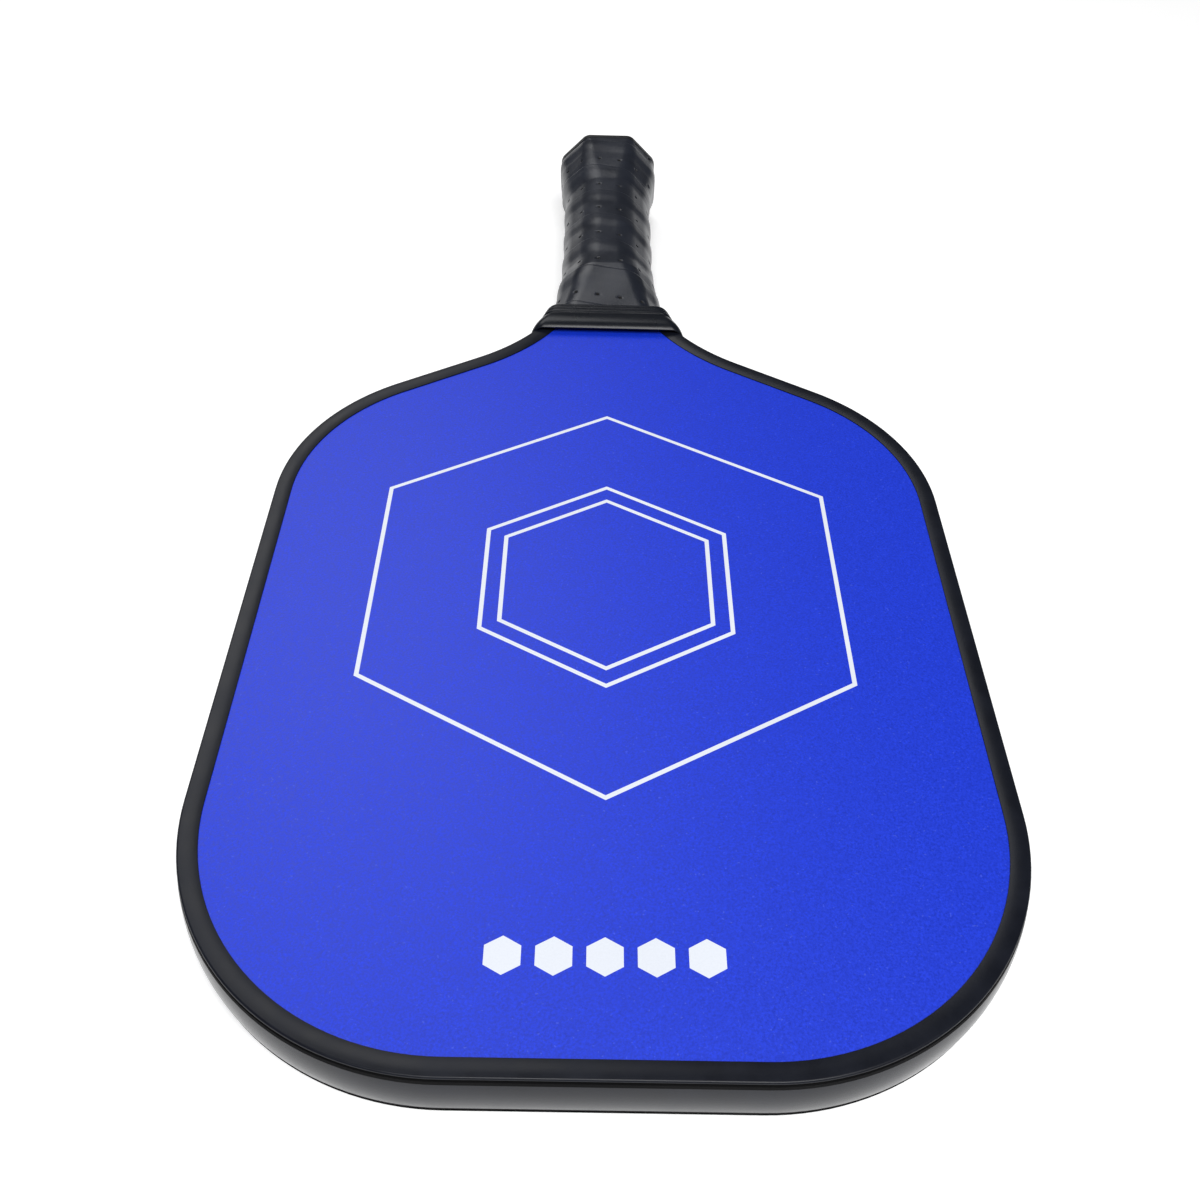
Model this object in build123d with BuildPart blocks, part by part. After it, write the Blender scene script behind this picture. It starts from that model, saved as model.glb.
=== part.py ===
from build123d import *
import os
from math import cos, radians, sqrt

# A pickleball paddle. It lies flat, with the board's mid-plane at z = 0 and the front face up.
# The tip is at -Y, the butt at +Y, and the origin is half way between the two.
# Millimetres throughout.

# Head outline, measured on the outermost line of the edge guard
paddle_length = 400
paddle_width = 199
corner_radius = 66.5  # the two corners beside the tip
shoulder_radius = 65  # from the straight side round to the slope
neck_radius = 66.2  # the hollow flare from the slope into the neck
shoulder_y = -20.6  # where the straight side ends
slope_angle = 32.2  # between the slope and the X axis
slope_length = 29.8
neck_sweep = 26  # how far round the flare the head runs before the throat covers it

# Board: core, bond film, face sheet and graphic film, from the middle out
core_thickness = 12.7
bond_film_thickness = 0.1
face_sheet_thickness = 0.45
graphic_film_thickness = 0.1
ink_thickness = 0.03
tongue_width = 24  # the board's tail inside the handle
tongue_end_y = 194
tongue_fillet = 2
cell_width = 10  # honeycomb cell, across its flats, wall included
cell_wall = 0.35
core_rim = 1.5  # no cell comes nearer to the board's edge than this
smallest_cell_area = 6  # a cut cell with less area than this stays solid

# Edge guard
guard_inset = 2  # from the outermost line in to the board's edge
guard_tape_thickness = 0.2
guard_tape_height = 12
lip_reach = 3.5  # how far the lip comes in over the board
lip_thickness = 0.8
lip_edge = 0.3  # thickness at the lip's thin inner end
lip_middle = 1.9  # where the lip's crown is measured, in from the board's edge
lip_drop = 0.12  # how far below its top the lip has come there, and half way round its corner
lip_corner_run = 0.6  # the lip's rounded outer corner, along the face
lip_corner_middle = 0.18
lip_corner_drop = 0.45
lip_setback = 0.1  # the lip's outer edge stands this far inside the wall's ends
groove_depth = 0.5  # the shadow line between lip and side wall
groove_drops = (0.6, 0.75, 1.3, 1.5)  # its mouth, floor, floor and mouth, below the lip's top
wall_crown = 0.7  # how far the side wall bulges

# Printed figure: three nested hexagons and a row of small solid ones
print_line = 1.2
figure_y = -56
figure_radii = (75, 40, 34)
marks_y = -171.7
mark_count = 5
mark_width = 8  # across flats
mark_pitch = 11

# Handle, as (y, half width, half height, corner cut) of the shells' eight-sided section
shell_stations = [
    (74, 19.4, 7.4, 4.6),
    (80, 18.9, 8.3, 6.0),
    (90, 17.5, 10.5, 6.8),
    (101, 16.1, 13.0, 8.4),
    (108, 15.4, 13.0, 8.6),
    (116, 15.0, 13.0, 8.6),
    (196, 15.0, 13.0, 8.6),
]
# The grip's outside where it widens over the butt cap, in the same form
flare_stations = [
    (166, 17.0, 15.0, 9.8),
    (174, 17.7, 15.6, 9.8),
    (180, 18.7, 16.4, 10.0),
    (186, 19.3, 17.0, 10.1),
    (192, 19.5, 17.2, 10.2),
    (196.5, 19.4, 17.1, 10.2),
]
# The rubber collar's inside and outside, in the same form
collar_inside = [
    (66.5, 26.35, 7.95, 1.2),
    (69, 24.85, 7.95, 1.4),
    (73, 23.0, 8.6, 2.4),
    (76, 21.5, 9.95, 6.0),
    (78.5, 21.25, 10.4, 6.8),
]
collar_outside = [
    (66.5, 27.0, 9.6, 3.4),
    (69, 25.7, 10.0, 3.5),
    (73, 24.0, 10.7, 3.6),
    (78.5, 21.9, 11.4, 3.5),
]
shell_end_y = 196
pocket_count = 5
pocket_size = (14, 11, 3.6)
pocket_pitch = 14
pocket_middle_y = 144
handle_tape_start_y = 76
handle_tape_thickness = 0.2
grip_thickness = 1.8
end_tape_end_y = 78
end_tape_thickness = 0.15
skirt_start_y = 174  # the butt cap's skirt, over the shells
rim_start_y = 196.5  # the butt cap's rim, past the grip's end
rim_corner_radius = 4.5
rim_fillet = 1.4
badge_radius = 9
badge_thickness = 0.8
badge_recess = 1.0
staple_y = 193
staple_crown = 10
staple_leg = 6
staple_wire = (0.7, 1.0)
staple_sink = 0.1  # how deep the crown lies below the skirt's surface

core_top = core_thickness / 2
sheet_bottom = core_top + bond_film_thickness
sheet_top = sheet_bottom + face_sheet_thickness
board_top = sheet_top + graphic_film_thickness
octagon_growth = 2 - sqrt(2)  # an octagon's corner cut grows by this for each mm it grows outwards
handle_growth = handle_tape_thickness + grip_thickness


def half_head(inset):
    """The right half of the head's outline, from the tip to the neck's end, moved inwards."""
    tip_y = inset - paddle_length / 2
    with BuildLine() as half:
        tip = Line((0, tip_y), (paddle_width / 2 - corner_radius, tip_y))
        corner = JernArc(tip @ 1, tip % 1, corner_radius - inset, 90)
        side = Line(corner @ 1, (paddle_width / 2 - inset, shoulder_y))
        shoulder = JernArc(side @ 1, side % 1, shoulder_radius - inset, 90 - slope_angle)
        slope = PolarLine(shoulder @ 1, slope_length, direction=shoulder % 1)
        JernArc(slope @ 1, slope % 1, neck_radius + inset, -neck_sweep)
    return half.line


def head_face(inset):
    """The head's outline as a flat face, closed straight across the neck."""
    with BuildSketch() as head:
        with BuildLine():
            half = half_head(inset)
            add(half)
            Line(half @ 1, (0, (half @ 1).Y))
            mirror(about=Plane.YZ)
        make_face()
    return head.sketch


def board_face():
    """The head and its tongue as one flat face."""
    head = head_face(guard_inset)
    neck_y = head.bounding_box().max.Y
    with BuildSketch() as board:
        add(head)
        with Locations((0, neck_y)):
            Rectangle(tongue_width, 2 * (tongue_end_y - neck_y))
        inner_corners = board.vertices().group_by(Axis.Y)[-2].sort_by(Axis.X)[1:-1]
        fillet(inner_corners, tongue_fillet)
    return board.sketch


def edge_band(inner_inset, outer_inset):
    """The strip between two outlines of the head, open across the neck."""
    with BuildSketch() as band:
        with BuildLine():
            inner = half_head(inner_inset)
            outer = half_head(outer_inset)
            add([inner, outer])
            Line(inner @ 0, outer @ 0)
            Line(inner @ 1, outer @ 1)
        make_face()
        mirror(about=Plane.YZ)
    return band.sketch


def honeycomb_cells(board):
    """The open cells of the core, cut off along its rim."""
    inside = offset(board, -core_rim)
    columns = round(paddle_width / (cell_width * cos(radians(30))))
    rows = round(paddle_length / cell_width)
    with BuildSketch() as cell:
        RegularPolygon((cell_width - cell_wall) / 2, 6, major_radius=False)
    cells = []
    for place in HexLocations(cell_width / 2, columns, rows).local_locations:
        clipped = inside & cell.sketch.moved(place)
        if clipped:
            cells += [face for face in clipped.faces() if face.area > smallest_cell_area]
    return cells


def octagon(y, half_width, half_height, corner_cut, corner_radius=0.0):
    """An upright eight-sided section across the handle at y."""
    with BuildSketch(Plane.XZ.offset(-y)) as section:
        Rectangle(2 * half_width, 2 * half_height)
        chamfer(section.vertices(), corner_cut)
        if corner_radius:
            fillet(section.vertices(), corner_radius)
    return section.sketch


def station_at(y, stations):
    """The section at y, on the straight run between its two neighbours."""
    for low, high in zip(stations, stations[1:]):
        if low[0] <= y <= high[0]:
            share = (y - low[0]) / (high[0] - low[0])
            return tuple(a + (b - a) * share for a, b in zip(low, high))
    raise ValueError(f"no station at {y}")


def grown(station, growth):
    """A station whose eight sides have all moved outwards."""
    y, half_width, half_height, corner_cut = station
    new_cut = corner_cut + growth * octagon_growth
    return (y, half_width + growth, half_height + growth, new_cut)


def run(stations, start_y, end_y, growth=0.0):
    """The stations from start_y to end_y, both ends included, moved outwards by growth."""
    middle = [station for station in stations if start_y < station[0] < end_y]
    ends = (station_at(start_y, stations), station_at(end_y, stations))
    return [grown(station, growth) for station in (ends[0], *middle, ends[1])]


def sections(stations):
    """A sketch for each station."""
    return [octagon(*station) for station in stations]


os.makedirs("parts", exist_ok=True)
board_plan = board_face()
head_plan = head_face(guard_inset)
cells = honeycomb_cells(board_plan)
finished = []

# Honeycomb core: one moulded board of open cells with a closed rim, head and tongue in one
with BuildPart() as honeycomb_core:
    with BuildSketch(Plane.XY.offset(-core_top)):
        add(board_plan)
        add(cells, mode=Mode.SUBTRACT)
    extrude(amount=core_thickness)
honeycomb_core.part.label = "honeycomb_core"
finished.append(honeycomb_core.part)

# The layers on each face: bond film, face sheet, graphic film and the white ink on it
for side, outwards in (("front", 1), ("back", -1)):
    with BuildPart() as bond_film:
        with BuildSketch(Plane.XY.offset(outwards * core_top)):
            add(board_plan)
        extrude(amount=outwards * bond_film_thickness)
    bond_film.part.label = f"{side}_bond_film"

    with BuildPart() as face_sheet:
        with BuildSketch(Plane.XY.offset(outwards * sheet_bottom)):
            add(board_plan)
        extrude(amount=outwards * face_sheet_thickness)
    face_sheet.part.label = f"{side}_face_sheet"

    with BuildPart() as graphic_film:
        with BuildSketch(Plane.XY.offset(outwards * sheet_top)):
            add(head_plan)
        extrude(amount=outwards * graphic_film_thickness)
    graphic_film.part.label = f"{side}_graphic_film"

    with BuildPart() as ink:
        with BuildSketch(Plane.XY.offset(outwards * board_top)):
            with Locations((0, figure_y)):
                for radius in figure_radii:
                    RegularPolygon(radius, 6, rotation=30)
                    hole_radius = radius - print_line / cos(radians(30))
                    RegularPolygon(hole_radius, 6, rotation=30, mode=Mode.SUBTRACT)
            with Locations((0, marks_y)), GridLocations(mark_pitch, 0, mark_count, 1):
                RegularPolygon(mark_width / 2, 6, major_radius=False, rotation=30)
        extrude(amount=outwards * ink_thickness)
    ink.part.label = f"{side}_print"
    finished += [bond_film.part, face_sheet.part, graphic_film.part, ink.part]

# Adhesive strip on the board's edge
with BuildPart() as edge_guard_tape:
    with BuildSketch():
        add(edge_band(guard_inset, guard_inset - guard_tape_thickness))
    extrude(amount=guard_tape_height / 2, both=True)
edge_guard_tape.part.label = "edge_guard_tape"
finished.append(edge_guard_tape.part)

# Edge guard: a U-channel whose section is drawn across the tip, then swept round the head
edge_y = guard_inset - paddle_length / 2  # the board's edge at the tip
lip_top = board_top + lip_thickness
web_inside_y = edge_y - guard_tape_thickness
wall_y = edge_y - guard_inset + wall_crown  # the side wall's ends, from which it bulges
lip_outer_y = wall_y + lip_setback
groove_y = wall_y + groove_depth
groove_levels = [lip_top - drop for drop in groove_drops]
with BuildPart() as edge_guard:
    with BuildSketch(Plane.YZ):
        with BuildLine():
            inside = Polyline(
                (web_inside_y, 0),
                (web_inside_y, board_top),
                (edge_y + lip_reach, board_top),
                (edge_y + lip_reach, board_top + lip_edge),
            )
            lip = ThreePointArc(
                inside @ 1,
                (edge_y + lip_middle, lip_top - lip_drop),
                (lip_outer_y + lip_corner_run, lip_top),
            )
            lip_corner = ThreePointArc(
                lip @ 1,
                (lip_outer_y + lip_corner_middle, lip_top - lip_drop),
                (lip_outer_y, lip_top - lip_corner_drop),
            )
            groove = Polyline(
                lip_corner @ 1,
                (lip_outer_y, groove_levels[0]),
                (groove_y, groove_levels[1]),
                (groove_y, groove_levels[2]),
                (wall_y, groove_levels[3]),
            )
            TangentArc((edge_y - guard_inset, 0), groove @ 1, tangent=(0, 1))
            mirror(about=Plane.XZ)
        make_face()
    sweep(path=half_head(guard_inset))
    mirror(about=Plane.YZ)
edge_guard.part.label = "edge_guard"
finished.append(edge_guard.part)

# Staples through the butt cap's skirt into the shells, one on each side
skirt_section = grown(station_at(staple_y, flare_stations), -grip_thickness)
staple_top = skirt_section[2] - staple_sink
with BuildPart() as butt_cap_staples:
    for outwards in (1, -1):
        crown_z = outwards * (staple_top - staple_wire[0] / 2)
        leg_z = outwards * (staple_top - staple_leg / 2)
        with Locations((0, staple_y, crown_z)):
            Box(staple_crown, staple_wire[1], staple_wire[0])
        with Locations((0, staple_y, leg_z)), GridLocations(staple_crown - staple_wire[0], 0, 2, 1):
            Box(staple_wire[0], staple_wire[1], staple_leg)
butt_cap_staples.part.label = "butt_cap_staples"
finished.append(butt_cap_staples.part)

# Handle shells: two ribbed halves that close round the tongue
for side, outwards in (("front", 1), ("back", -1)):
    keep_side = Keep.TOP if outwards > 0 else Keep.BOTTOM
    pocket_z = outwards * (sheet_top + pocket_size[2] / 2)
    with BuildPart() as handle_shell:
        loft(sections(run(shell_stations, shell_stations[0][0], shell_end_y)), ruled=True)
        split(bisect_by=Plane.XY, keep=keep_side)
        with BuildSketch(Plane.XY.offset(-sheet_top)):
            add(board_plan)
        extrude(amount=2 * sheet_top, mode=Mode.SUBTRACT)
        with Locations((0, pocket_middle_y, pocket_z)):
            with GridLocations(0, pocket_pitch, 1, pocket_count):
                Box(*pocket_size, mode=Mode.SUBTRACT)
        add(butt_cap_staples.part, mode=Mode.SUBTRACT)
    handle_shell.part.label = f"handle_shell_{side}"
    finished.append(handle_shell.part)

# Double-sided tape round the shells
with BuildPart() as handle_tape:
    tape_run = (shell_stations, handle_tape_start_y, skirt_start_y)
    loft(sections(run(*tape_run, handle_tape_thickness)), ruled=True)
    loft(sections(run(*tape_run)), ruled=True, mode=Mode.SUBTRACT)
handle_tape.part.label = "handle_tape"
finished.append(handle_tape.part)

# Butt cap: a flared skirt over the shells, and an end wall with a rim and a recess for the badge
end_y = paddle_length / 2
rim_size = flare_stations[-2][1:]
with BuildPart() as butt_cap:
    loft(sections(run(flare_stations, skirt_start_y, rim_start_y, -grip_thickness)), ruled=True)
    extrude(octagon(rim_start_y, *rim_size, rim_corner_radius), amount=rim_start_y - end_y)
    fillet(butt_cap.faces().sort_by(Axis.Y)[-1].edges(), rim_fillet)
    loft(sections(run(shell_stations, skirt_start_y, shell_end_y)), ruled=True, mode=Mode.SUBTRACT)
    with BuildSketch(Plane.XZ.offset(-end_y)):
        Circle(badge_radius)
    extrude(amount=badge_recess, mode=Mode.SUBTRACT)
    add(butt_cap_staples.part, mode=Mode.SUBTRACT)
butt_cap.part.label = "butt_cap"
finished.append(butt_cap.part)

# Plain disc in the cap's recess
with BuildPart() as butt_cap_badge:
    with BuildSketch(Plane.XZ.offset(badge_recess - end_y)):
        Circle(badge_radius)
    extrude(amount=-badge_thickness)
    fillet(butt_cap_badge.faces().sort_by(Axis.Y)[-1].edges(), badge_thickness / 4)
butt_cap_badge.part.label = "butt_cap_badge"
finished.append(butt_cap_badge.part)

# Cushion grip: the soft wrap's outer shape, from under the collar to the butt cap's rim
flare_start_y = flare_stations[0][0]
grip_straight = run(shell_stations, handle_tape_start_y, flare_start_y, handle_growth)
with BuildPart() as cushion_grip:
    loft(sections(grip_straight[:-1] + flare_stations), ruled=True)
    loft(
        sections(run(shell_stations, handle_tape_start_y, skirt_start_y, handle_tape_thickness)),
        ruled=True,
        mode=Mode.SUBTRACT,
    )
    loft(
        sections(run(flare_stations, skirt_start_y, rim_start_y, -grip_thickness)),
        ruled=True,
        mode=Mode.SUBTRACT,
    )
cushion_grip.part.label = "cushion_grip"
finished.append(cushion_grip.part)

# Finishing tape over the grip's upper end, hidden by the collar
with BuildPart() as grip_end_tape:
    end_run = (shell_stations, handle_tape_start_y, end_tape_end_y)
    loft(sections(run(*end_run, handle_growth + end_tape_thickness)), ruled=True)
    loft(sections(run(*end_run, handle_growth)), ruled=True, mode=Mode.SUBTRACT)
grip_end_tape.part.label = "grip_end_tape"
finished.append(grip_end_tape.part)

# Throat collar: a stretched rubber ring over the guard's ends and the grip's upper end
with BuildPart() as throat_collar:
    loft(sections(collar_outside), ruled=True)
    loft(sections(collar_inside), ruled=True, mode=Mode.SUBTRACT)
throat_collar.part.label = "throat_collar"
finished.append(throat_collar.part)

for piece in finished:
    export_step(piece, f"parts/{piece.label}.step")
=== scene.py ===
import math

import bpy
from bpy.props import FloatProperty, FloatVectorProperty, IntProperty, PointerProperty
from mathutils import Matrix, Vector, noise


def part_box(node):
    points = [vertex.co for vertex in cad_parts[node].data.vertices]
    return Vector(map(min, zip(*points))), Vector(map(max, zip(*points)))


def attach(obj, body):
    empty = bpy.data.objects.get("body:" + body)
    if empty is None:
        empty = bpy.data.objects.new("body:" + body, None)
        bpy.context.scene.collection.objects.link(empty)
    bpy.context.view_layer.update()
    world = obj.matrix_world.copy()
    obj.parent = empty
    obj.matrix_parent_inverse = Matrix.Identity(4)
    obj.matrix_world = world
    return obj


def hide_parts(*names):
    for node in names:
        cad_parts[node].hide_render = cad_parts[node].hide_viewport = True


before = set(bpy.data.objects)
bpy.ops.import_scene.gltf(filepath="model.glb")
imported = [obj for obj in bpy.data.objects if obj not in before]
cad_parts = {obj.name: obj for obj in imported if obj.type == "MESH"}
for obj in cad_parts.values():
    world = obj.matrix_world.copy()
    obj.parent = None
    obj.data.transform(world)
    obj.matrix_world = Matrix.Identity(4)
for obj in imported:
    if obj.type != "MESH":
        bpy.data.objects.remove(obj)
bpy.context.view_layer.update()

bl_info = {
    "name": "Pickleball Paddle",
    "version": (1, 0, 0),
    "blender": (4, 5, 0),
    "location": "3D View > Sidebar > Paddle",
    "description": "Builds the looks of a pickleball paddle round its solid model",
    "category": "Object",
}

MM = 0.001

# The head's outline on the guard's outermost line, in mm, as the solid model has it
CORNER_RADIUS = 66.5
SHOULDER_RADIUS = 65.0
NECK_RADIUS = 66.2
SHOULDER_Y = -20.6
SLOPE_ANGLE = math.radians(32.2)
SLOPE_LENGTH = 29.8
NECK_SWEEP = math.radians(26)

# The guard's section, in mm: how far in from the outermost line, and the height
WEB_INSIDE = 1.8
LIP_END = 5.5
LIP_EDGE = 0.3
LIP_CROWN = ((3.9, 7.68), (1.4, 7.8))
LIP_CORNER = ((0.98, 7.68), (0.8, 7.35))
GROOVE = ((0.8, 7.2), (1.2, 7.05), (1.2, 6.5), (0.7, 6.3))

# The heights, in mm, between which the guard's grooves and wall tops get a rougher finish and a
# near-black colour as painted shade
UNPOLISHED_BAND = (5.39, 7.36)

# Mesh steps along the lip's crown, round its corner and up half the side wall
CROWN_STEPS = 8
LIP_CORNER_STEPS = 5
WALL_STEPS = 7

# Mesh steps along half the tip, one side and one slope, and how many of a head corner's steps
# the shoulder and the neck take
TIP_STEPS = 3
SIDE_RUN_STEPS = 8
SLOPE_STEPS = 4
SHOULDER_SHARE = 0.65
NECK_SHARE = 0.4

# The grip's outside, in mm: y, half width, half height, corner cut, corner rounding
GRIP_STATIONS = (
    (76.0, 21.23, 9.7, 6.24, 7.8),
    (80.0, 20.9, 10.3, 7.17, 7.2),
    (90.0, 19.5, 12.5, 8.2, 9.0),
    (101.0, 18.1, 15.0, 9.57, 10.5),
    (108.0, 17.4, 15.0, 9.77, 11.0),
    (116.0, 17.0, 15.0, 9.77, 11.0),
    (166.0, 17.0, 15.0, 9.8, 11.0),
    (174.0, 17.7, 15.6, 9.8, 10.0),
    (180.0, 18.7, 16.4, 10.0, 9.0),
    (186.0, 19.3, 17.0, 10.1, 8.0),
    (192.0, 19.5, 17.2, 10.2, 7.0),
    (196.5, 19.4, 17.1, 10.2, 4.8),
)

SIDE_STEPS = 30  # mesh steps along each of the grip's eight sides
CORNER_TURN_STEPS = 13  # and round each of its corners
# The step that lies on the front's middle: past two sides and half way along the third
FRONT_MIDDLE = 2 * (SIDE_STEPS + CORNER_TURN_STEPS) + SIDE_STEPS // 2

# The row of holes in the grip's strip, in mm: in from the strip's edge, and round from the
# front's middle
HOLE_ROW = 5.0
HOLE_PHASE = 4.4

# The collar's outside, in mm: y, half width, half height
COLLAR_ROWS = (
    (78.5, 21.7, 10.9),
    (78.1, 22.0, 11.35),
    (77.5, 22.2, 11.4),
    (77.0, 22.15, 11.1),
    (76.6, 22.5, 11.4),
    (75.9, 22.75, 11.35),
    (75.4, 22.7, 11.0),
    (75.0, 23.1, 11.25),
    (74.2, 23.4, 11.15),
    (73.7, 23.35, 10.7),
    (73.2, 23.75, 10.85),
    (72.0, 24.3, 11.0),
    (70.6, 25.0, 11.05),
    (69.2, 25.75, 10.9),
    (68.0, 26.3, 10.55),
    (66.9, 26.75, 10.0),
    (66.1, 26.95, 9.3),
)

MERGE_WITHIN = 0.002 * MM  # corners of one mesh that are closer than this become one
MIRROR_MERGE_WITHIN = 0.005 * MM


def linear(hex_colour):
    """A colour written as sRGB hex, as the linear values that a shader takes."""
    values = [int(hex_colour[i : i + 2], 16) / 255 for i in (1, 3, 5)]
    return [v / 12.92 if v <= 0.04045 else ((v + 0.055) / 1.055) ** 2.4 for v in values] + [1.0]


class PaddleSettings(bpy.types.PropertyGroup):
    """Sizes and colours of the paddle's visible pieces."""

    face_colour: FloatVectorProperty(
        name="Face film", description="Colour of the printed film on both faces",
        subtype="COLOR", size=4, min=0, max=1, default=linear("#0E37D8"),
    )
    ink_colour: FloatVectorProperty(
        name="Ink", description="Colour of the lines printed on the faces",
        subtype="COLOR", size=4, min=0, max=1, default=linear("#EDF2FC"),
    )
    guard_colour: FloatVectorProperty(
        name="Edge guard", description="Colour of the moulded guard round the head",
        subtype="COLOR", size=4, min=0, max=1, default=linear("#13161F"),
    )
    collar_colour: FloatVectorProperty(
        name="Collar", description="Colour of the rubber collar at the throat",
        subtype="COLOR", size=4, min=0, max=1, default=linear("#10141C"),
    )
    grip_colour: FloatVectorProperty(
        name="Grip", description="Colour of the wound cushion grip",
        subtype="COLOR", size=4, min=0, max=1, default=linear("#1E222C"),
    )
    wrap_pitch: FloatProperty(
        name="Wrap pitch", description="How far along the handle one turn of the grip goes",
        subtype="DISTANCE", unit="LENGTH", default=19 * MM, min=12 * MM, max=26 * MM,
    )
    overlap_rise: FloatProperty(
        name="Overlap rise", description="How far the grip stands up where two turns overlap",
        subtype="DISTANCE", unit="LENGTH", default=0.45 * MM, min=0.0, max=1.5 * MM,
    )
    hole_spacing: FloatProperty(
        name="Hole spacing", description="Distance between the grip's holes along the strip",
        subtype="DISTANCE", unit="LENGTH", default=8 * MM, min=4 * MM, max=16 * MM,
    )
    hole_radius: FloatProperty(
        name="Hole radius", description="Radius of one hole in the grip",
        subtype="DISTANCE", unit="LENGTH", default=0.62 * MM, min=0.2 * MM, max=1.5 * MM,
    )
    corner_steps: IntProperty(
        name="Corner steps", description="How many steps the guard takes round a head corner",
        default=36, min=8, max=96,
    )


def settings():
    """The paddle's settings in this scene."""
    return bpy.context.scene.paddle


# Materials


def add_node(tree, kind, inputs=None, **choices):
    """Adds a node with its settings, and sets or links its inputs."""
    made = tree.nodes.new("ShaderNode" + kind)
    for name, value in choices.items():
        setattr(made, name, value)
    for name, value in (inputs or {}).items():
        if isinstance(value, bpy.types.NodeSocket):
            tree.links.new(value, made.inputs[name])
        else:
            made.inputs[name].default_value = value
    return made


def start_material(name, **sockets):
    """A new material with one shader, whose constants sit on its own sockets."""
    made = bpy.data.materials.new(name)
    made.use_nodes = True
    tree = made.node_tree
    tree.nodes.clear()
    values = {key.replace("_", " "): value for key, value in sockets.items()}
    shader = add_node(tree, "BsdfPrincipled", values)
    add_node(tree, "OutputMaterial", {"Surface": shader.outputs["BSDF"]})
    return made, tree, shader


def noise_value(tree, place, size, detail=2.0, roughness=0.5):
    """Noise whose features are about that many metres across."""
    made = add_node(
        tree, "TexNoise",
        {"Vector": place, "Scale": 1 / size, "Detail": detail, "Roughness": roughness},
    )
    return made.outputs["Fac"]


def ranged(tree, value, low, high, to_low, to_high):
    """The value taken from one range to another, and held at its ends."""
    made = add_node(
        tree, "MapRange",
        {"Value": value, "From Min": low, "From Max": high, "To Min": to_low, "To Max": to_high},
    )
    return made.outputs["Result"]


def blended(tree, share, first, second):
    """A colour between two others."""
    made = add_node(tree, "Mix", {0: share, 6: first, 7: second}, data_type="RGBA")
    return made.outputs[2]


def shade(colour, factor):
    """The colour made darker or lighter by a factor."""
    return [min(1.0, c * factor) for c in colour[:3]] + [1.0]


def mottled(tree, value, low, high, colour, darker, lighter):
    """A colour that wanders between a darker and a lighter shade of itself."""
    share = ranged(tree, value, low, high, 0, 1)
    return blended(tree, share, shade(colour, darker), shade(colour, lighter))


def raise_surface(tree, shader, height, strength, depth):
    """Stands the surface up by a height pattern, as deep as that many metres."""
    bump = add_node(tree, "Bump", {"Strength": strength, "Distance": depth, "Height": height})
    tree.links.new(bump.outputs["Normal"], shader.inputs["Normal"])


BROAD_VARIATION = 0.03  # metres across the soft patches on moulded and coated surfaces
GLOSS_SPREAD = 0.08  # how far their roughness strays either way


def textured_material(name, colour, grain, depth, roughness, contrast=0.16, **sockets):
    """A moulded or coated surface: fine grain in relief, broad soft variation in its gloss."""
    made, tree, shader = start_material(name, **sockets)
    place = add_node(tree, "TexCoord").outputs["Object"]
    fine = noise_value(tree, place, grain, detail=3.0, roughness=0.6)
    broad = noise_value(tree, place, BROAD_VARIATION)
    tone = add_node(tree, "Math", {0: fine, 1: broad}, operation="ADD").outputs[0]
    mixed = mottled(tree, tone, 0.75, 1.25, colour, 1 - contrast, 1 + contrast)
    tree.links.new(mixed, shader.inputs["Base Color"])
    glossy, dull = roughness - GLOSS_SPREAD, roughness + GLOSS_SPREAD
    tree.links.new(ranged(tree, broad, 0.3, 0.7, glossy, dull), shader.inputs["Roughness"])
    raise_surface(tree, shader, fine, strength=0.6, depth=depth)
    return made


def face_film_material():
    """Sand-textured polyester film: pressed grit gives a satin blue with light and dark specks."""
    colour = list(settings().face_colour)
    made, tree, shader = start_material("grit_pressed_polyester_film", IOR=1.5)
    place = add_node(tree, "TexCoord").outputs["Object"]
    # grit is about 0.15 mm, drawn at 0.55 mm so that it still shows from arm's length
    grit = noise_value(tree, place, 0.55 * MM, detail=3.0, roughness=0.7)
    clumps = noise_value(tree, place, 4 * MM, detail=3.0)
    sparkle = noise_value(tree, place, 0.8 * MM, detail=1.0)
    body = mottled(tree, grit, 0.3, 0.7, colour, 0.72, 1.28)
    cloudy = blended(tree, ranged(tree, clumps, 0.35, 0.65, 0, 0.35), body, shade(colour, 0.93))
    specks = ranged(tree, sparkle, 0.70, 0.78, 0, 0.3)
    pale = linear("#5F78F0")
    tree.links.new(blended(tree, specks, cloudy, pale), shader.inputs["Base Color"])
    tree.links.new(ranged(tree, grit, 0.3, 0.7, 0.4, 0.55), shader.inputs["Roughness"])
    raise_surface(tree, shader, grit, strength=0.35, depth=0.06 * MM)
    return made


def ink_material():
    """Screen-printed white ink: a thin flat coat in which the film's grit still shows."""
    return textured_material(
        "screen_printed_ink", list(settings().ink_colour),
        grain=0.5 * MM, depth=0.03 * MM, roughness=0.5, contrast=0.03, IOR=1.5,
    )


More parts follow.
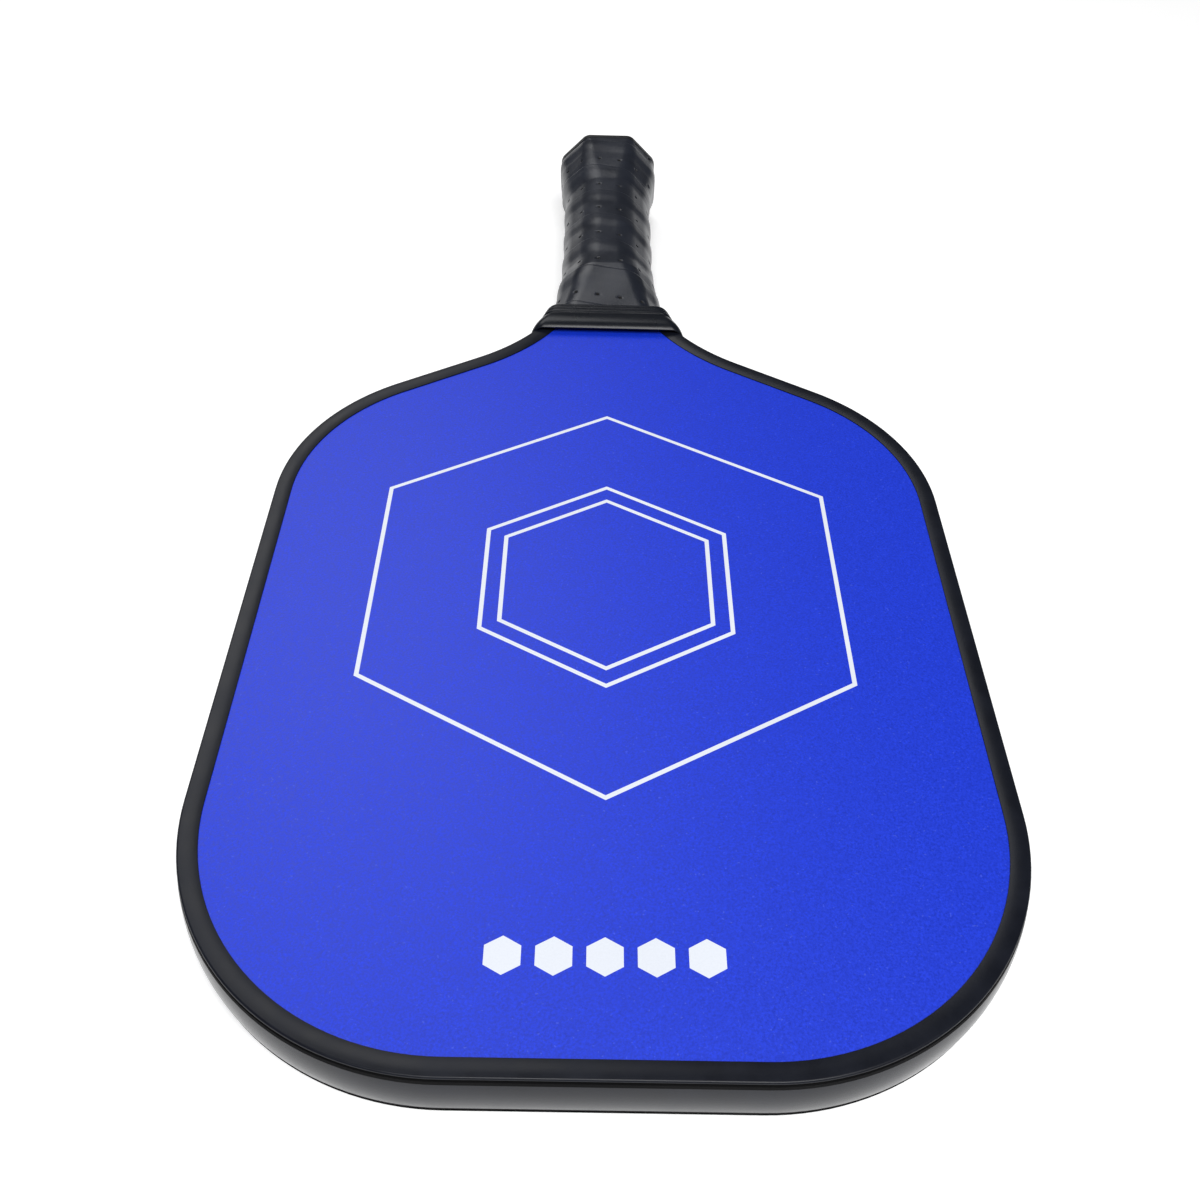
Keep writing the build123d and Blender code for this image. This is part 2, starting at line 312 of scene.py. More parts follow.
def guard_material():
    """Injection-moulded thermoplastic urethane: satin black, with fine scuffs that catch light."""
    colour = list(settings().guard_colour)
    made, tree, shader = start_material(
        "moulded_urethane_satin_black", IOR=1.5, Specular_IOR_Level=0.26
    )
    place = add_node(tree, "TexCoord").outputs["Object"]
    # spark-eroded mould texture is about 0.1 mm, drawn at 0.35 mm
    skin = noise_value(tree, place, 0.35 * MM)
    rubs = noise_value(tree, place, 9 * MM, detail=5.0, roughness=0.65)
    tone = mottled(tree, rubs, 0.35, 0.65, colour, 0.85, 1.25)
    tree.links.new(tone, shader.inputs["Base Color"])
    # the mould is polished for the side wall and etched for the lips, so the wall is glossier
    height = add_node(tree, "SeparateXYZ", {"Vector": place}).outputs["Z"]
    away = add_node(tree, "Math", {0: height}, operation="ABSOLUTE").outputs[0]
    gloss = ranged(tree, away, 6.2 * MM, 7.2 * MM, 0.2, 0.34)
    uneven = ranged(tree, rubs, 0.3, 0.7, -0.05, 0.06)
    total = add_node(tree, "Math", {0: gloss, 1: uneven}, operation="ADD").outputs[0]
    tree.links.new(total, shader.inputs["Roughness"])
    raise_surface(tree, shader, skin, strength=0.3, depth=0.03 * MM)
    return made


def groove_material():
    """The groove under each lip and the wall's top edge: rough, and near-black as painted shade.
    """
    return textured_material(
        # near-black colour: painted shade in the groove
        "unpolished_urethane_groove", linear("#050507"),
        grain=0.35 * MM, depth=0.03 * MM, roughness=0.8, contrast=0.2,
        IOR=1.5, Specular_IOR_Level=0.15,
    )


def collar_material():
    """Stretched natural rubber: smooth, with a soft sheen along its ridges and bead."""
    return textured_material(
        "stretched_rubber", list(settings().collar_colour),
        grain=1.2 * MM, depth=0.03 * MM, roughness=0.3, IOR=1.52, Specular_IOR_Level=0.32,
    )


def grip_material():
    """Embossed polyurethane foam strip: soft grain, pierced holes painted near-black as shade, and
    worn, shinier crowns.
    """
    own = settings()
    colour = list(own.grip_colour)
    made, tree, shader = start_material("embossed_polyurethane_grip", IOR=1.5)
    place = add_node(tree, "TexCoord").outputs["Object"]
    strip = add_node(tree, "UVMap", uv_map="strip").outputs["UV"]
    # embossed grain of real strips is about 0.4 mm, drawn at 0.8 mm
    grain = noise_value(tree, place, 0.8 * MM, detail=3.0, roughness=0.6)
    rubs = noise_value(tree, place, 14 * MM, detail=4.0, roughness=0.6)
    parts = add_node(tree, "SeparateXYZ", {"Vector": strip})
    along, across = parts.outputs["X"], parts.outputs["Y"]
    spacing = own.hole_spacing
    start = HOLE_PHASE * MM / spacing + 0.5
    spot = add_node(tree, "Math", {0: along, 1: 1 / spacing, 2: start}, operation="MULTIPLY_ADD")
    part = add_node(tree, "Math", {0: spot.outputs[0]}, operation="FRACT").outputs[0]
    leg_along = add_node(
        tree, "Math", {0: part, 1: spacing, 2: -spacing / 2}, operation="MULTIPLY_ADD"
    )
    leg_across = add_node(tree, "Math", {0: across, 1: HOLE_ROW * MM}, operation="SUBTRACT")
    offset = add_node(tree, "CombineXYZ", {"X": leg_along.outputs[0], "Y": leg_across.outputs[0]})
    distance = add_node(tree, "VectorMath", {0: offset.outputs[0]}, operation="LENGTH")
    reach = distance.outputs["Value"]
    hole = ranged(tree, reach, own.hole_radius * 0.9, own.hole_radius * 1.15, 1.0, 0.0)
    tone = mottled(tree, rubs, 0.35, 0.65, colour, 0.82, 1.22)
    # the holes are painted near-black: painted shade inside them
    shadow = linear("#040405")
    tree.links.new(blended(tree, hole, tone, shadow), shader.inputs["Base Color"])
    worn = ranged(tree, rubs, 0.3, 0.7, 0.27, 0.42)
    gloss = add_node(tree, "Math", {0: hole, 1: 0.5, 2: worn}, operation="MULTIPLY_ADD")
    tree.links.new(gloss.outputs[0], shader.inputs["Roughness"])
    raise_surface(tree, shader, grain, strength=0.45, depth=0.08 * MM)
    return made


def set_material(piece, material):
    """Gives a piece one material all over."""
    if not piece.data.materials:
        piece.data.materials.append(material)
    for index in range(len(piece.data.materials)):
        piece.data.materials[index] = material


# Modelling


def deselect():
    """Leaves object mode with nothing selected."""
    if bpy.context.object and bpy.context.object.mode != "OBJECT":
        bpy.ops.object.mode_set(mode="OBJECT")
    bpy.ops.object.select_all(action="DESELECT")


def start_at_point(name, place):
    """A new object of one vertex, open in edit mode with the vertex selected."""
    deselect()
    bpy.ops.mesh.primitive_plane_add(size=MM)
    piece = bpy.context.object
    piece.name = piece.data.name = name
    bpy.ops.object.mode_set(mode="EDIT")
    bpy.ops.mesh.select_all(action="SELECT")
    bpy.ops.mesh.merge(type="CENTER")
    bpy.ops.transform.translate(value=place)
    return piece


def pull(step):
    """Extrudes what is selected by a step."""
    bpy.ops.mesh.extrude_region_move(TRANSFORM_OT_translate={"value": step})


def three_point_arc(start, middle, end, count):
    """Points on the arc from start through middle to end, without its start."""
    (ax, ay), (bx, by), (cx, cy) = start, middle, end
    turn = 2 * (ax * (by - cy) + bx * (cy - ay) + cx * (ay - by))
    a2, b2, c2 = ax * ax + ay * ay, bx * bx + by * by, cx * cx + cy * cy
    ux = (a2 * (by - cy) + b2 * (cy - ay) + c2 * (ay - by)) / turn
    uy = (a2 * (cx - bx) + b2 * (ax - cx) + c2 * (bx - ax)) / turn
    radius = math.hypot(ax - ux, ay - uy)
    first = math.atan2(ay - uy, ax - ux)
    sweep = (math.atan2(cy - uy, cx - ux) - first + math.pi) % (2 * math.pi) - math.pi
    angles = [first + sweep * i / count for i in range(1, count + 1)]
    return [(ux + radius * math.cos(a), uy + radius * math.sin(a)) for a in angles]


def guard_section(board_top):
    """The guard's closed section, in mm, as how far in and how high."""
    upper = [(WEB_INSIDE, 0.0), (WEB_INSIDE, board_top), (LIP_END, board_top)]
    upper.append((LIP_END, board_top + LIP_EDGE))
    upper += three_point_arc(upper[-1], *LIP_CROWN, CROWN_STEPS)
    upper += three_point_arc(upper[-1], *LIP_CORNER, LIP_CORNER_STEPS)
    upper += GROOVE
    in_end, high_end = GROOVE[-1]
    radius = (high_end**2 + in_end**2) / (2 * in_end)
    for i in range(WALL_STEPS - 1, -1, -1):
        height = high_end * i / WALL_STEPS
        upper.append((radius - math.sqrt(radius**2 - height**2), height))
    lower = [(inwards, -height) for inwards, height in reversed(upper[1:-1])]
    return upper + lower


def finish_mesh(piece, smooth_angle):
    """Closes edit mode, turns faces outwards and shades the piece."""
    bpy.ops.object.mode_set(mode="EDIT")
    bpy.ops.mesh.select_all(action="SELECT")
    bpy.ops.mesh.remove_doubles(threshold=MERGE_WITHIN)
    bpy.ops.mesh.normals_make_consistent(inside=False)
    bpy.ops.object.mode_set(mode="OBJECT")
    bpy.ops.object.shade_smooth_by_angle(angle=math.radians(smooth_angle))
    return piece


def keep_modifier(piece, kind, **choices):
    """Adds a modifier with its settings and applies it."""
    made = piece.modifiers.new(kind.lower(), kind)
    for name, value in choices.items():
        setattr(made, name, value)
    bpy.context.view_layer.objects.active = piece
    bpy.ops.object.modifier_apply(modifier=made.name)


class BuildEdgeGuard(bpy.types.Operator):
    """Draws the guard's section at the tip and carries it round half the head, then mirrors it"""

    bl_idname = "paddle.build_edge_guard"
    bl_label = "Edge guard"

    HEIGHT_SLACK = 0.01  # mm allowed when a face's height is compared with the painted-shade band
    LEAST_HEIGHT = 0.05  # mm from a face's low side to its high side; flatter ones stay glossy

    def execute(self, context):
        low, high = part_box("edge_guard")
        board_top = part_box("front_graphic_film")[1].z / MM
        half_width = high.x
        section = [
            Vector((0, low.y + inwards * MM, height * MM))
            for inwards, height in guard_section(board_top)
        ]
        piece = start_at_point("moulded_edge_guard", section[0])
        for here, there in zip(section, section[1:] + section[:1]):
            pull(there - here)
        bpy.ops.mesh.select_all(action="SELECT")
        bpy.ops.mesh.remove_doubles(threshold=MERGE_WITHIN)
        bpy.ops.mesh.select_all(action="SELECT")
        self.carry_round(low.y, half_width)
        bpy.ops.mesh.fill()
        bpy.ops.object.mode_set(mode="OBJECT")
        keep_modifier(
            piece, "MIRROR", use_axis=(True, False, False), merge_threshold=MIRROR_MERGE_WITHIN
        )
        finish_mesh(piece, smooth_angle=30)
        set_material(piece, guard_material())
        self.finish_grooves(piece)
        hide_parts("edge_guard")
        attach(piece, "root")
        return {"FINISHED"}

    def finish_grooves(self, piece):
        """Gives both grooves and the wall's top edges a rougher finish and a near-black colour as
        painted shade.
        """
        piece.data.materials.append(groove_material())
        bottom, top = UNPOLISHED_BAND
        for polygon in piece.data.polygons:
            heights = [abs(piece.data.vertices[i].co.z) / MM for i in polygon.vertices]
            lowest, highest = min(heights), max(heights)
            within = bottom - self.HEIGHT_SLACK < lowest and highest < top + self.HEIGHT_SLACK
            if within and highest - lowest > self.LEAST_HEIGHT:
                polygon.material_index = 1

    def carry_round(self, tip_y, half_width):
        """Straight runs and turns from the tip to the neck's end."""
        steps = settings().corner_steps
        corner = CORNER_RADIUS * MM
        corner_x = half_width - corner
        self.run(corner_x, 0, TIP_STEPS)
        self.turn((corner_x, tip_y + corner), math.radians(90), steps)
        side = SHOULDER_Y * MM - (tip_y + corner)
        self.run(0, side, SIDE_RUN_STEPS)
        shoulder = SHOULDER_RADIUS * MM
        centre = Vector((half_width - shoulder, SHOULDER_Y * MM))
        sweep = math.pi / 2 - SLOPE_ANGLE
        self.turn(centre, sweep, round(steps * SHOULDER_SHARE))
        slope = Vector((-math.cos(SLOPE_ANGLE), math.sin(SLOPE_ANGLE))) * SLOPE_LENGTH * MM
        self.run(slope.x, slope.y, SLOPE_STEPS)
        outwards = Vector((math.cos(sweep), math.sin(sweep)))
        slope_end = centre + outwards * shoulder + slope
        neck_centre = slope_end + outwards * NECK_RADIUS * MM
        self.turn(neck_centre, -NECK_SWEEP, round(steps * NECK_SHARE))

    def run(self, along_x, along_y, steps):
        """Pulls the section straight, in even steps."""
        for _ in range(steps):
            pull((along_x / steps, along_y / steps, 0))

    def turn(self, centre, angle, steps):
        """Spins the section about an upright axis; a positive angle turns to the left."""
        bpy.ops.mesh.spin(steps=steps, angle=-angle, center=(*centre, 0), axis=(0, 0, 1))


class BuildCollar(bpy.types.Operator):
    """Draws the rubber collar as a ring, row by row, with ridges, a bead and rounded corners"""

    bl_idname = "paddle.build_collar"
    bl_label = "Throat collar"

    THICKNESS = 0.65 * MM
    EDGE_ROUNDING = 0.2 * MM
    CORNER_TRIM = 4.8 * MM  # how far each long corner is cut back and rounded
    CORNER_STEPS = 8
    LONG_EDGE = 0.1 * MM  # edges that rise more than this along the handle run along the collar

    def execute(self, context):
        deselect()
        bpy.ops.mesh.primitive_plane_add(size=2 * MM, rotation=(math.pi / 2, 0, 0))
        piece = context.object
        piece.name = piece.data.name = "ridged_rubber_collar"
        bpy.ops.object.transform_apply(location=True, rotation=True, scale=True)
        bpy.ops.object.mode_set(mode="EDIT")
        bpy.ops.mesh.select_all(action="SELECT")
        bpy.ops.mesh.delete(type="ONLY_FACE")
        bpy.ops.mesh.select_all(action="SELECT")
        y, half_width, half_height = COLLAR_ROWS[0]
        bpy.ops.transform.resize(value=(half_width, 1, half_height))
        bpy.ops.transform.translate(value=(0, y * MM, 0))
        for here, there in zip(COLLAR_ROWS, COLLAR_ROWS[1:]):
            pull((0, (there[0] - here[0]) * MM, 0))
            factor = (there[1] / here[1], 1, there[2] / here[2])
            bpy.ops.transform.resize(value=factor, center_override=(0, there[0] * MM, 0))
        self.round_corners(piece)
        keep_modifier(
            piece, "SOLIDIFY", thickness=self.THICKNESS, offset=-1.0, use_even_offset=True
        )
        keep_modifier(
            piece, "BEVEL", width=self.EDGE_ROUNDING, segments=2, limit_method="ANGLE",
            angle_limit=math.radians(60),
        )
        keep_modifier(piece, "SUBSURF", levels=2, render_levels=2)
        finish_mesh(piece, smooth_angle=60)
        set_material(piece, collar_material())
        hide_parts("throat_collar")
        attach(piece, "root")
        return {"FINISHED"}

    def round_corners(self, piece):
        """Rounds the four edges that run along the collar."""
        bpy.ops.mesh.select_all(action="SELECT")
        bpy.ops.mesh.normals_make_consistent(inside=False)
        bpy.ops.mesh.select_all(action="DESELECT")
        bpy.ops.mesh.select_mode(type="EDGE")
        bpy.ops.object.mode_set(mode="OBJECT")
        vertices = piece.data.vertices
        for edge in piece.data.edges:
            first, second = (vertices[i].co for i in edge.vertices)
            edge.select = abs(first.y - second.y) > self.LONG_EDGE
        bpy.ops.object.mode_set(mode="EDIT")
        bpy.ops.mesh.bevel(
            offset=self.CORNER_TRIM, segments=self.CORNER_STEPS, profile=0.5, clamp_overlap=False
        )
        bpy.ops.object.mode_set(mode="OBJECT")


def section_at(y):
    """The grip's half width, half height, corner cut and corner rounding at y, in mm."""
    for low, high in zip(GRIP_STATIONS, GRIP_STATIONS[1:]):
        if y <= high[0] + 1e-6:
            share = (y - low[0]) / (high[0] - low[0])
            return [a + (b - a) * share for a, b in zip(low[1:], high[1:])]
    return list(GRIP_STATIONS[-1][1:])


def soft_octagon(half_width, half_height, cut, rounding):
    """Points and outward directions round an eight-sided section with soft corners, in mm."""
    a, b, c = half_width, half_height, cut
    corners = [
        (a, b - c), (a - c, b), (-(a - c), b), (-a, b - c),
        (-a, c - b), (-(a - c), -b), (a - c, -b), (a, c - b),
    ]
    corners = [Vector(corner) for corner in corners]
    points, outwards = [], []
    count = len(corners)
    for i, corner in enumerate(corners):
        before = (corner - corners[i - 1]).normalized()
        after = (corners[(i + 1) % count] - corner).normalized()
        bend = before.angle(after)
        trim = rounding * math.tan(bend / 2)
        start = corners[i - 1] + before * trim
        end = corner - before * trim
        facing = Vector((before.y, -before.x))
        for j in range(SIDE_STEPS):
            points.append(start + (end - start) * (j / SIDE_STEPS))
            outwards.append(facing)
        centre = end - facing * rounding
        for j in range(CORNER_TURN_STEPS):
            turned = Matrix.Rotation(bend * j / CORNER_TURN_STEPS, 2) @ facing
            points.append(centre + turned * rounding)
            outwards.append(turned)
    return points, outwards


class BuildGrip(bpy.types.Operator):
    """Winds the cushion grip: soft eight-sided sleeve with spiral overlaps and pierced holes"""

    bl_idname = "paddle.build_grip"
    bl_label = "Cushion grip"

    ROW_STEP = 0.28  # mm between rows of the mesh
    OVERLAP_START = 0.5  # share of a turn at which the strip climbs on to the one below
    OVERLAP_CLIMB = 0.32  # and the share over which it climbs
    EDGE_START = 0.955  # share of a turn at which its free edge begins to round over
    EDGE_SPAN = 0.045
    EDGE_DROP = 0.45  # how far the edge comes down, as a share of the rise
    SEAM_SPAN = 0.05  # share of a turn over which the seam below the edge dips
    SEAM_DIP = 0.12  # how deep, as a share of the rise
    MIDDLE = 0.5  # the share of the rise that lies on the section itself
    FIRST_EDGE = 79.5  # mm along the handle, where a strip's edge crosses the middle of the front
    INNER_ROWS = 12  # mesh rows down the inside, which is smooth
    THICKNESS = 1.5  # mm
    END_FADE = 3.0  # mm over which the wrap's relief dies out at either end
    SOFT_SIZE = 13.0  # mm, how broad the foam's slight unevenness is
    SOFT_RISE = 0.3  # mm, how high it is
    HOLE_DEPTH = 0.6  # mm
    HOLE_RIM = 1.05  # where a hole's wall starts, and how wide it slopes, in hole radii
    HOLE_SLOPE = 0.3

    def execute(self, context):
        pitch = settings().wrap_pitch / MM
        low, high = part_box("cushion_grip")
        start_y, end_y = low.y / MM, high.y / MM
        rows = round((end_y - start_y) / self.ROW_STEP)
        vertices, marks = [], []
        for i in range(rows + 1):
            y = start_y + (end_y - start_y) * i / rows
            points, outwards = soft_octagon(*section_at(y))
            lengths = self.lengths_round(points)
            marks.append((y, lengths))
            fade = self.relief_left(end_y - y) * self.relief_left(y - start_y)
            vertices += self.row(y, points, outwards, lengths, pitch, fade)
        for i in range(self.INNER_ROWS + 1):
            y = end_y - (end_y - start_y) * i / self.INNER_ROWS
            points, outwards = soft_octagon(*section_at(y))
            sides = zip(points, outwards)
            vertices += [self.moved_out(*side, -self.THICKNESS, y) for side in sides]
        count, total_rows = len(points), rows + self.INNER_ROWS + 2
        faces = []
        for i in range(total_rows):
            for j in range(count):
                k, below = (j + 1) % count, (i + 1) % total_rows
                faces.append((i * count + j, below * count + j, below * count + k, i * count + k))
        mesh = bpy.data.meshes.new("wound_cushion_grip")
        mesh.from_pydata([tuple(v) for v in vertices], [], faces)
        self.map_strip(mesh, count, marks, pitch)
        piece = bpy.data.objects.new("wound_cushion_grip", mesh)
        context.scene.collection.objects.link(piece)
        deselect()
        context.view_layer.objects.active = piece
        piece.select_set(True)
        finish_mesh(piece, smooth_angle=50)
        set_material(piece, grip_material())
        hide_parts("cushion_grip")
        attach(piece, "root")
        return {"FINISHED"}

    def relief_left(self, distance):
        """How much of the wrap's relief there is, that far from an end in mm."""
        return min(1.0, distance / self.END_FADE)

    def moved_out(self, point, outward, out, y):
        """A place so far outside a point of the section at y, all in mm, as metres."""
        return Vector((point.x + out * outward.x, y, point.y + out * outward.y)) * MM

    def lengths_round(self, points):
        """How far round each point is from the front's middle, in mm, and the first once more."""
        lengths = [0.0]
        for here, there in zip(points, points[1:] + points[:1]):
            lengths.append(lengths[-1] + (there - here).length)
        return [length - lengths[FRONT_MIDDLE] for length in lengths]

    def turns(self, y, lengths, j, pitch):
        """Turns of the strip from its first edge to a place on the grip."""
        return (y - self.FIRST_EDGE) / pitch - lengths[j] / (lengths[-1] - lengths[0])

    def row(self, y, points, outwards, lengths, pitch, fade):
        """One ring of the grip's outside."""
        rise = settings().overlap_rise / MM
        made = []
        for j, (point, outward) in enumerate(zip(points, outwards)):
            share = self.turns(y, lengths, j, pitch) % 1.0
            soft = noise.noise(Vector((point.x, y, point.y)) / self.SOFT_SIZE) * self.SOFT_RISE
            out = (self.lift(share) * rise + soft) * fade - self.hole(lengths[j], share * pitch)
            made.append(self.moved_out(point, outward, out, y))
        return made

    def lift(self, share):
        """Height across one turn of the strip, low side to free edge, as a share of the rise."""
        climb = (share - self.OVERLAP_START) / self.OVERLAP_CLIMB
        climb = max(0.0, min(1.0, climb))
        smooth = climb * climb * (3 - 2 * climb)
        round_edge = max(0.0, (share - self.EDGE_START) / self.EDGE_SPAN)
        dip = max(0.0, 1 - share / self.SEAM_SPAN)
        top = smooth * (1 - self.EDGE_DROP * round_edge**2)
        return top - self.MIDDLE - self.SEAM_DIP * dip

    def hole(self, along, across):
        """Depth of a pierced hole at a place on the strip, in mm."""
        own = settings()
        spacing, radius = own.hole_spacing / MM, own.hole_radius / MM
        spot = (along + HOLE_PHASE) / spacing + 0.5
        away_along = (spot - math.floor(spot) - 0.5) * spacing
        reach = math.hypot(away_along, across - HOLE_ROW) / radius
        return self.HOLE_DEPTH * max(0.0, min(1.0, (self.HOLE_RIM - reach) / self.HOLE_SLOPE))

    def map_strip(self, mesh, count, marks, pitch):
        """Stores how far along and across the strip each corner is, in metres."""
        layer = mesh.uv_layers.new(name="strip").data
        for polygon in mesh.polygons:
            i, j = divmod(polygon.index, count)
            if i >= len(marks) - 1:
                continue
            corners = ((i, j), (i + 1, j), (i + 1, j + 1), (i, j + 1))
            turns = [self.turns(*marks[line], place, pitch) for line, place in corners]
            turn = math.floor(sum(turns) / len(turns))
            for loop, (line, place), turned in zip(polygon.loop_indices, corners, turns):
                layer[loop].uv = (marks[line][1][place] * MM, (turned - turn) * pitch * MM)


class FinishFaces(bpy.types.Operator):
    """Gives the printed films and their ink their finish"""

    bl_idname = "paddle.finish_faces"
    bl_label = "Faces"

    def execute(self, context):
        film, ink = face_film_material(), ink_material()
        for side in ("front", "back"):
            set_material(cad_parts[f"{side}_graphic_film"], film)
            set_material(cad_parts[f"{side}_print"], ink)
        return {"FINISHED"}


class FinishButt(bpy.types.Operator):
    """Gives the butt cap and its plain badge their finish"""

    bl_idname = "paddle.finish_butt"
    bl_label = "Butt cap"

    def execute(self, context):
        # ABS: moulded, satin, with a fine spark-eroded grain drawn at 0.5 mm
        cap = textured_material(
            "moulded_abs_black", linear("#17191D"),
            grain=0.5 * MM, depth=0.04 * MM, roughness=0.42, IOR=1.54,
        )
        badge = textured_material(
            "domed_abs_badge_blue", linear("#0A2ED3"),
            grain=0.5 * MM, depth=0.015 * MM, roughness=0.22, contrast=0.06, IOR=1.54,
        )
        set_material(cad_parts["butt_cap"], cap)
        set_material(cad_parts["butt_cap_badge"], badge)
        return {"FINISHED"}


class FinishInside(bpy.types.Operator):
    """Gives the board's layers and the handle's inner pieces their finish"""

    bl_idname = "paddle.finish_inside"
    bl_label = "Inner pieces"

    # real rovings are about 0.6 mm wide; this draws their crests 3.8 mm apart, far coarser
    WEAVE_SCALE = 1 / (0.6 * MM * 20)

    def execute(self, context):
        # polypropylene: extruded, milky and waxy
        core = textured_material(
            "extruded_polypropylene", linear("#E6E6E0"),
            grain=2 * MM, depth=0.05 * MM, roughness=0.4, IOR=1.49,
        )
        # epoxy glass cloth: woven, pale green, its weave drawn coarser than it is
        cloth = self.woven_material()
        # acrylic adhesive: cast, tacky and slightly uneven
        glue = textured_material(
            "cast_acrylic_adhesive", linear("#DDD3B4"),
            grain=3 * MM, depth=0.08 * MM, roughness=0.35, IOR=1.47,
        )
        shell = textured_material(
            "moulded_polystyrene", linear("#2A2A2B"),
            grain=0.8 * MM, depth=0.05 * MM, roughness=0.5, IOR=1.59,
        )
        tape = textured_material(
            "glossy_pvc_tape", linear("#141417"),
            grain=1.5 * MM, depth=0.02 * MM, roughness=0.2, IOR=1.53,
        )
        # galvanised wire: drawn, with a faint fine grain
        steel = textured_material(
            "drawn_galvanised_wire", linear("#B9BCBF"),
            grain=0.3 * MM, depth=0.02 * MM, roughness=0.35, Metallic=1.0,
        )
        finishes = {
            core: ("honeycomb_core",),
            cloth: ("front_face_sheet", "back_face_sheet"),
            glue: ("front_bond_film", "back_bond_film", "edge_guard_tape", "handle_tape"),
            shell: ("handle_shell_front", "handle_shell_back"),
            tape: ("grip_end_tape",),
            steel: ("butt_cap_staples",),
        }
        for material, names in finishes.items():
            for name in names:
                set_material(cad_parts[name], material)
        return {"FINISHED"}

    def woven_material(self):
        """Epoxy glass cloth: a plain weave of rovings under a thin resin gloss."""
        made, tree, shader = start_material("epoxy_glass_cloth", IOR=1.55, Roughness=0.25)
        place = add_node(tree, "TexCoord").outputs["Object"]
        lines = [
            add_node(
                tree, "TexWave", {"Vector": place, "Scale": self.WEAVE_SCALE},
                bands_direction=direction, wave_profile="SIN",
            ).outputs["Fac"]
            for direction in ("X", "Y")
        ]
        weave = add_node(tree, "Math", {0: lines[0], 1: lines[1]}, operation="MULTIPLY").outputs[0]
        tone = blended(tree, weave, linear("#97A08C"), linear("#C3CAB6"))
        tree.links.new(tone, shader.inputs["Base Color"])
        raise_surface(tree, shader, weave, strength=0.5, depth=0.05 * MM)
        return made


# The camera, in the paddle's own frame: metres and radians
CAMERA_PLACE = (-0.00583, -0.30596, 0.2500)
CAMERA_PITCH = 0.78802
CAMERA_YAW = 0.0169
CAMERA_ROLL = 0.03252
CAMERA_LENS = 37.5
SENSOR_WIDTH = 36.0
CAMERA_NEAR = 0.01  # nothing nearer than this is drawn

BUTT_REST_Y = 192 * MM  # where the butt's flare touches the floor
FLOOR_CLEARANCE = 0.3 * MM
FLOOR_SIZE = 12.0
FLOOR_GLOW = 0.36  # how strongly the floor shines by itself, which keeps it pale
SKY_STRENGTH = 0.08
LIGHT_TARGET = (0, -0.05, 0)

# Soft studio lights: name, place, size in metres, power in watts
LIGHTS = (
    ("key_softbox", (-0.40, 0.80, 1.12), 0.85, 5.9),
    ("overhead_softbox", (0.15, -0.75, 1.35), 0.9, 20.5),
)


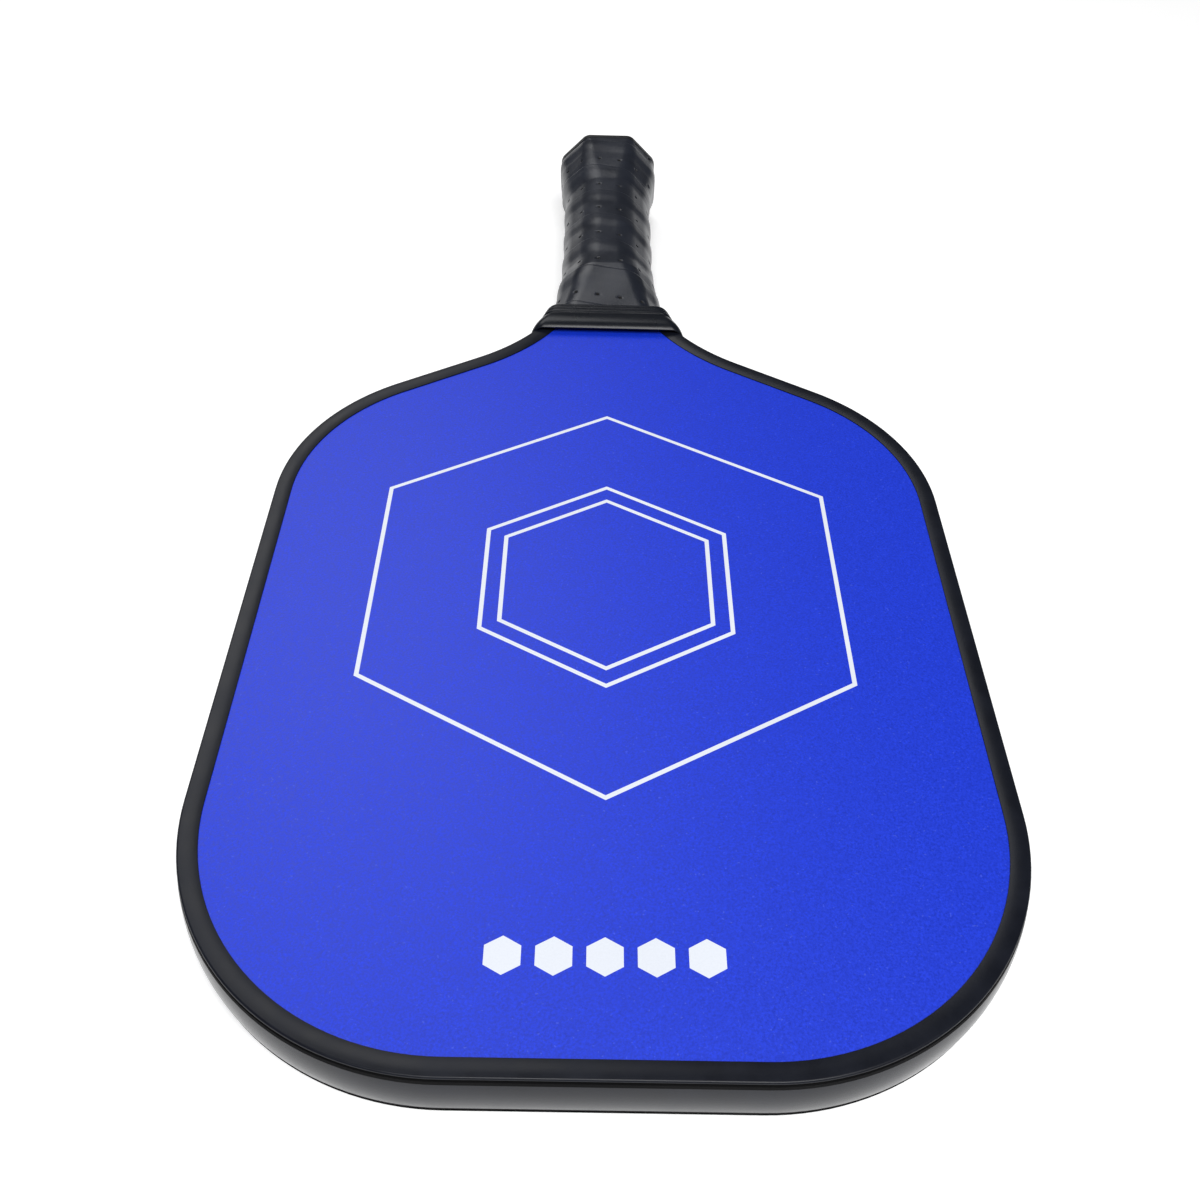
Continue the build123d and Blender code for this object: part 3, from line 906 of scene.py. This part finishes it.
class BuildStage(bpy.types.Operator):
    """Lays the pale floor, hangs the soft lights and places the camera"""

    bl_idname = "paddle.build_stage"
    bl_label = "Stage"

    def execute(self, context):
        self.floor()
        self.lights(context.scene)
        self.camera(context.scene)
        return {"FINISHED"}

    def floor(self):
        """A pale floor that touches the tip's lower edge and the butt's flare."""
        guard_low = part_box("edge_guard")[0]
        cap_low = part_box("butt_cap")[0]
        tip = (guard_low.y, guard_low.z)
        butt = (BUTT_REST_Y, cap_low.z - FLOOR_CLEARANCE)
        slope = math.atan2(butt[1] - tip[1], butt[0] - tip[0])
        deselect()
        bpy.ops.mesh.primitive_plane_add(size=FLOOR_SIZE)
        floor = bpy.context.object
        floor.name = "pale_floor"
        floor.rotation_euler = (slope, 0, 0)
        floor.location = (0, 0, tip[1] - tip[0] * math.tan(slope))
        made, tree, shader = start_material("matt_painted_floor", Roughness=0.9)
        place = add_node(tree, "TexCoord").outputs["Object"]
        cloud = noise_value(tree, place, 0.4)
        tone = blended(tree, cloud, linear("#F6F6F6"), linear("#FAFAFA"))
        tree.links.new(tone, shader.inputs["Base Color"])
        shader.inputs["Emission Color"].default_value = (1, 1, 1, 1)
        shader.inputs["Emission Strength"].default_value = FLOOR_GLOW
        set_material(floor, made)

    def lights(self, scene):
        """Large soft lights and a dim even sky."""
        target = Vector(LIGHT_TARGET)
        for name, place, size, power in LIGHTS:
            lamp = bpy.data.lights.new(name, "AREA")
            lamp.shape = "SQUARE"
            lamp.size = size
            lamp.energy = power
            hung = bpy.data.objects.new(name, lamp)
            hung.location = place
            hung.rotation_euler = (target - Vector(place)).to_track_quat("-Z", "Y").to_euler()
            scene.collection.objects.link(hung)
        sky = bpy.data.worlds.new("soft_sky")
        sky.use_nodes = True
        background = sky.node_tree.nodes["Background"]
        background.inputs["Color"].default_value = (1, 1, 1, 1)
        background.inputs["Strength"].default_value = SKY_STRENGTH
        scene.world = sky
        scene.view_settings.view_transform = "Standard"

    def camera(self, scene):
        """The camera above the tip, looking down along the paddle."""
        pitch, yaw, roll = CAMERA_PITCH, CAMERA_YAW, CAMERA_ROLL
        forward = Vector(
            (math.sin(yaw) * math.cos(pitch), math.cos(yaw) * math.cos(pitch), -math.sin(pitch))
        )
        right = Vector((math.cos(yaw), -math.sin(yaw), 0))
        up = right.cross(forward)
        across = math.cos(roll) * right + math.sin(roll) * up
        above = math.cos(roll) * up - math.sin(roll) * right
        lens = bpy.data.cameras.new("studio_camera")
        lens.lens = CAMERA_LENS
        lens.sensor_width = SENSOR_WIDTH
        lens.clip_start = CAMERA_NEAR
        camera = bpy.data.objects.new("studio_camera", lens)
        turned = Matrix((across, above, -forward)).transposed().to_4x4()
        camera.matrix_world = Matrix.Translation(CAMERA_PLACE) @ turned
        scene.collection.objects.link(camera)
        scene.camera = camera


OPERATORS = (
    BuildStage, BuildEdgeGuard, BuildCollar, BuildGrip, FinishFaces, FinishButt, FinishInside,
)


class PaddlePanel(bpy.types.Panel):
    """Lists the paddle's settings and the steps that build it"""

    bl_idname = "VIEW3D_PT_paddle"
    bl_label = "Pickleball Paddle"
    bl_space_type = "VIEW_3D"
    bl_region_type = "UI"
    bl_category = "Paddle"

    def draw(self, context):
        for name in PaddleSettings.__annotations__:
            self.layout.prop(context.scene.paddle, name)
        for operator in OPERATORS:
            self.layout.operator(operator.bl_idname)


CLASSES = (PaddleSettings, *OPERATORS, PaddlePanel)


def register():
    """Makes the settings, operators and panel known to Blender."""
    for made in CLASSES:
        bpy.utils.register_class(made)
    bpy.types.Scene.paddle = PointerProperty(type=PaddleSettings)


def unregister():
    """Takes them away again."""
    del bpy.types.Scene.paddle
    for made in reversed(CLASSES):
        bpy.utils.unregister_class(made)


def main():
    """Builds the whole paddle."""
    register()
    bpy.ops.paddle.build_stage()
    bpy.ops.paddle.build_edge_guard()
    bpy.ops.paddle.build_collar()
    bpy.ops.paddle.build_grip()
    bpy.ops.paddle.finish_faces()
    bpy.ops.paddle.finish_butt()
    bpy.ops.paddle.finish_inside()


if __name__ == "__main__":
    main()
